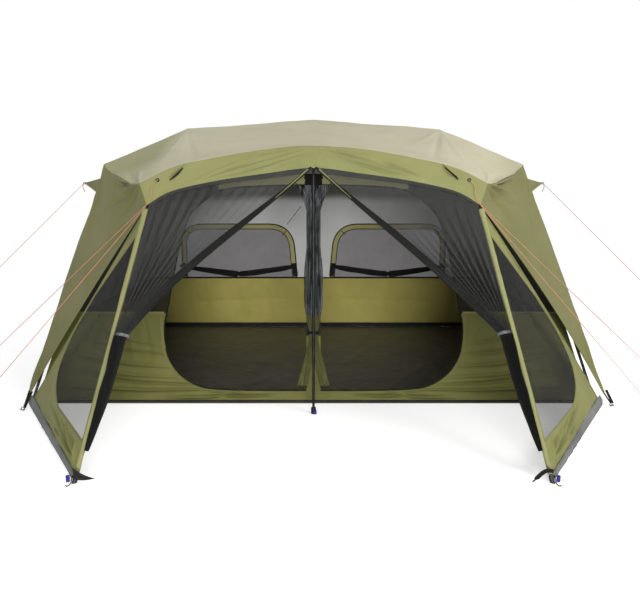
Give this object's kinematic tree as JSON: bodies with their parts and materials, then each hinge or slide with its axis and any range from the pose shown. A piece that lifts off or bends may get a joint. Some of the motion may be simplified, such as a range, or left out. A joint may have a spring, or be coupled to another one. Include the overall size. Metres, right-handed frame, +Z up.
{
  "type": "family cabin tent",
  "caption": "Cabin tent with a pole frame, a flysheet with side awnings, a screened front porch, tied-back doors and guy lines.",
  "frame": {"origin": "on the ground, in the middle of the tent's width and depth, guy lines left out", "axes": "+Z up, -Y towards the porch's entrance, +X to the right for someone facing the entrance"},
  "size_m": [6.9098, 4.3919, 2.29],
  "materials": {
    "roof_cloth": "matt coated polyester",
    "olive_cloth": "matt coated polyester",
    "mesh_cloth": "fine knitted mesh",
    "dark_cloth": "matt woven",
    "ground_cloth": "coated, slightly glossy",
    "dark_steel": "satin powder coat",
    "black_plastic": "moulded",
    "rod_black": "satin glass fibre",
    "zip_metal": "black enamel",
    "cord_pink": "braided",
    "peg_steel": "bright drawn wire"
  },
  "bodies": {
    "tent": {"cabin_door_left": "mesh_cloth", "cabin_door_right": "mesh_cloth", "cabin_wall_front": "olive_cloth", "cabin_wall_left": "olive_cloth", "cabin_wall_rear": "olive_cloth", "cabin_wall_right": "olive_cloth", "centre_pole_upper": "dark_steel", "flysheet": "roof_cloth", "groundsheet": "ground_cloth", "guy_line_awning_left": "cord_pink", "guy_line_awning_right": "cord_pink", "guy_line_front_left": "cord_pink", "guy_line_front_right": "cord_pink", "guy_line_side_left": "cord_pink", "guy_line_side_right": "cord_pink", "guy_peg_awning_left": "peg_steel", "guy_peg_awning_right": "peg_steel", "guy_peg_front_left": "peg_steel", "guy_peg_front_right": "peg_steel", "guy_peg_side_left": "peg_steel", "guy_peg_side_right": "peg_steel", "leg_upper_front_left": "dark_steel", "leg_upper_front_right": "dark_steel", "leg_upper_rear_left": "dark_steel", "leg_upper_rear_right": "dark_steel", "porch_door_left": "mesh_cloth", "porch_door_right": "mesh_cloth", "porch_pole_left": "dark_steel", "porch_pole_right": "dark_steel", "porch_side_left": "olive_cloth", "porch_side_right": "olive_cloth", "rear_window_cover_left": "dark_cloth", "rear_window_cover_right": "dark_cloth", "roof_hub": "black_plastic", "roof_rod_inner_front_left": "rod_black", "roof_rod_inner_front_right": "rod_black", "roof_rod_inner_rear_left": "rod_black", "roof_rod_inner_rear_right": "rod_black", "roof_rod_outer_front_left": "rod_black", "roof_rod_outer_front_right": "rod_black", "roof_rod_outer_rear_left": "rod_black", "roof_rod_outer_rear_right": "rod_black"},
    "leg_foot_front_left": {"leg_lower_front_left": "dark_steel"},
    "button_front_left": {"leg_button_front_left": "black_plastic"},
    "leg_foot_front_right": {"leg_lower_front_right": "dark_steel"},
    "button_front_right": {"leg_button_front_right": "black_plastic"},
    "leg_foot_rear_left": {"leg_lower_rear_left": "dark_steel"},
    "button_rear_left": {"leg_button_rear_left": "black_plastic"},
    "leg_foot_rear_right": {"leg_lower_rear_right": "dark_steel"},
    "button_rear_right": {"leg_button_rear_right": "black_plastic"},
    "centre_pole_foot": {"centre_pole_lower": "dark_steel"},
    "runner_awning_left": {"guy_runner_awning_left": "black_plastic"},
    "runner_awning_right": {"guy_runner_awning_right": "black_plastic"},
    "runner_side_left": {"guy_runner_side_left": "black_plastic"},
    "runner_side_right": {"guy_runner_side_right": "black_plastic"},
    "runner_front_left": {"guy_runner_front_left": "black_plastic"},
    "runner_front_right": {"guy_runner_front_right": "black_plastic"},
    "zip_slider_left": {"porch_zip_slider_left": "zip_metal"},
    "zip_slider_right": {"porch_zip_slider_right": "zip_metal"}
  },
  "joints": [
    {"name": "leg_slide_front_left", "type": "slide", "parent": "tent", "child": "leg_foot_front_left", "axis": [0.3017, 0.1732, 0.9375], "range_m": [0, 0.7]},
    {"name": "leg_button_press_front_left", "type": "slide", "parent": "tent", "child": "button_front_left", "axis": [0.9534, -0.0548, -0.2967], "range_m": [0, 0.003], "stiffness_N_per_m": 600, "springref_m": -0.003},
    {"name": "leg_slide_front_right", "type": "slide", "parent": "tent", "child": "leg_foot_front_right", "axis": [-0.3017, 0.1732, 0.9375], "range_m": [0, 0.7]},
    {"name": "leg_button_press_front_right", "type": "slide", "parent": "tent", "child": "button_front_right", "axis": [-0.9534, -0.0548, -0.2967], "range_m": [0, 0.003], "stiffness_N_per_m": 600, "springref_m": -0.003},
    {"name": "leg_slide_rear_left", "type": "slide", "parent": "tent", "child": "leg_foot_rear_left", "axis": [0.3017, -0.1732, 0.9375], "range_m": [0, 0.7]},
    {"name": "leg_button_press_rear_left", "type": "slide", "parent": "tent", "child": "button_rear_left", "axis": [0.9534, 0.0548, -0.2967], "range_m": [0, 0.003], "stiffness_N_per_m": 600, "springref_m": -0.003},
    {"name": "leg_slide_rear_right", "type": "slide", "parent": "tent", "child": "leg_foot_rear_right", "axis": [-0.3017, -0.1732, 0.9375], "range_m": [0, 0.7]},
    {"name": "leg_button_press_rear_right", "type": "slide", "parent": "tent", "child": "button_rear_right", "axis": [-0.9534, 0.0548, -0.2967], "range_m": [0, 0.003], "stiffness_N_per_m": 600, "springref_m": -0.003},
    {"name": "centre_pole_slide", "type": "slide", "parent": "tent", "child": "centre_pole_foot", "axis": [0, -0.0146, 0.9999], "range_m": [0, 0.76]},
    {"name": "guy_runner_slide_awning_left", "type": "slide", "parent": "tent", "child": "runner_awning_left", "axis": [-0.4213, -0.655, -0.6273], "range_m": [-0.45, 0.4]},
    {"name": "guy_runner_slide_awning_right", "type": "slide", "parent": "tent", "child": "runner_awning_right", "axis": [0.4213, -0.655, -0.6273], "range_m": [-0.45, 0.4]},
    {"name": "guy_runner_slide_side_left", "type": "slide", "parent": "tent", "child": "runner_side_left", "axis": [-0.7485, 0.1506, -0.6458], "range_m": [-0.45, 0.4]},
    {"name": "guy_runner_slide_side_right", "type": "slide", "parent": "tent", "child": "runner_side_right", "axis": [0.7485, 0.1506, -0.6458], "range_m": [-0.45, 0.4]},
    {"name": "guy_runner_slide_front_left", "type": "slide", "parent": "tent", "child": "runner_front_left", "axis": [-0.6169, -0.238, -0.7502], "range_m": [-0.45, 0.4]},
    {"name": "guy_runner_slide_front_right", "type": "slide", "parent": "tent", "child": "runner_front_right", "axis": [0.6169, -0.238, -0.7502], "range_m": [-0.45, 0.4]},
    {"name": "porch_zip_slide_left", "type": "slide", "parent": "tent", "child": "zip_slider_left", "axis": [-0.6889, -0.3593, -0.6295], "range_m": [0, 1.38]},
    {"name": "porch_zip_slide_right", "type": "slide", "parent": "tent", "child": "zip_slider_right", "axis": [0.6889, -0.3593, -0.6295], "range_m": [0, 1.38]}
  ]
}
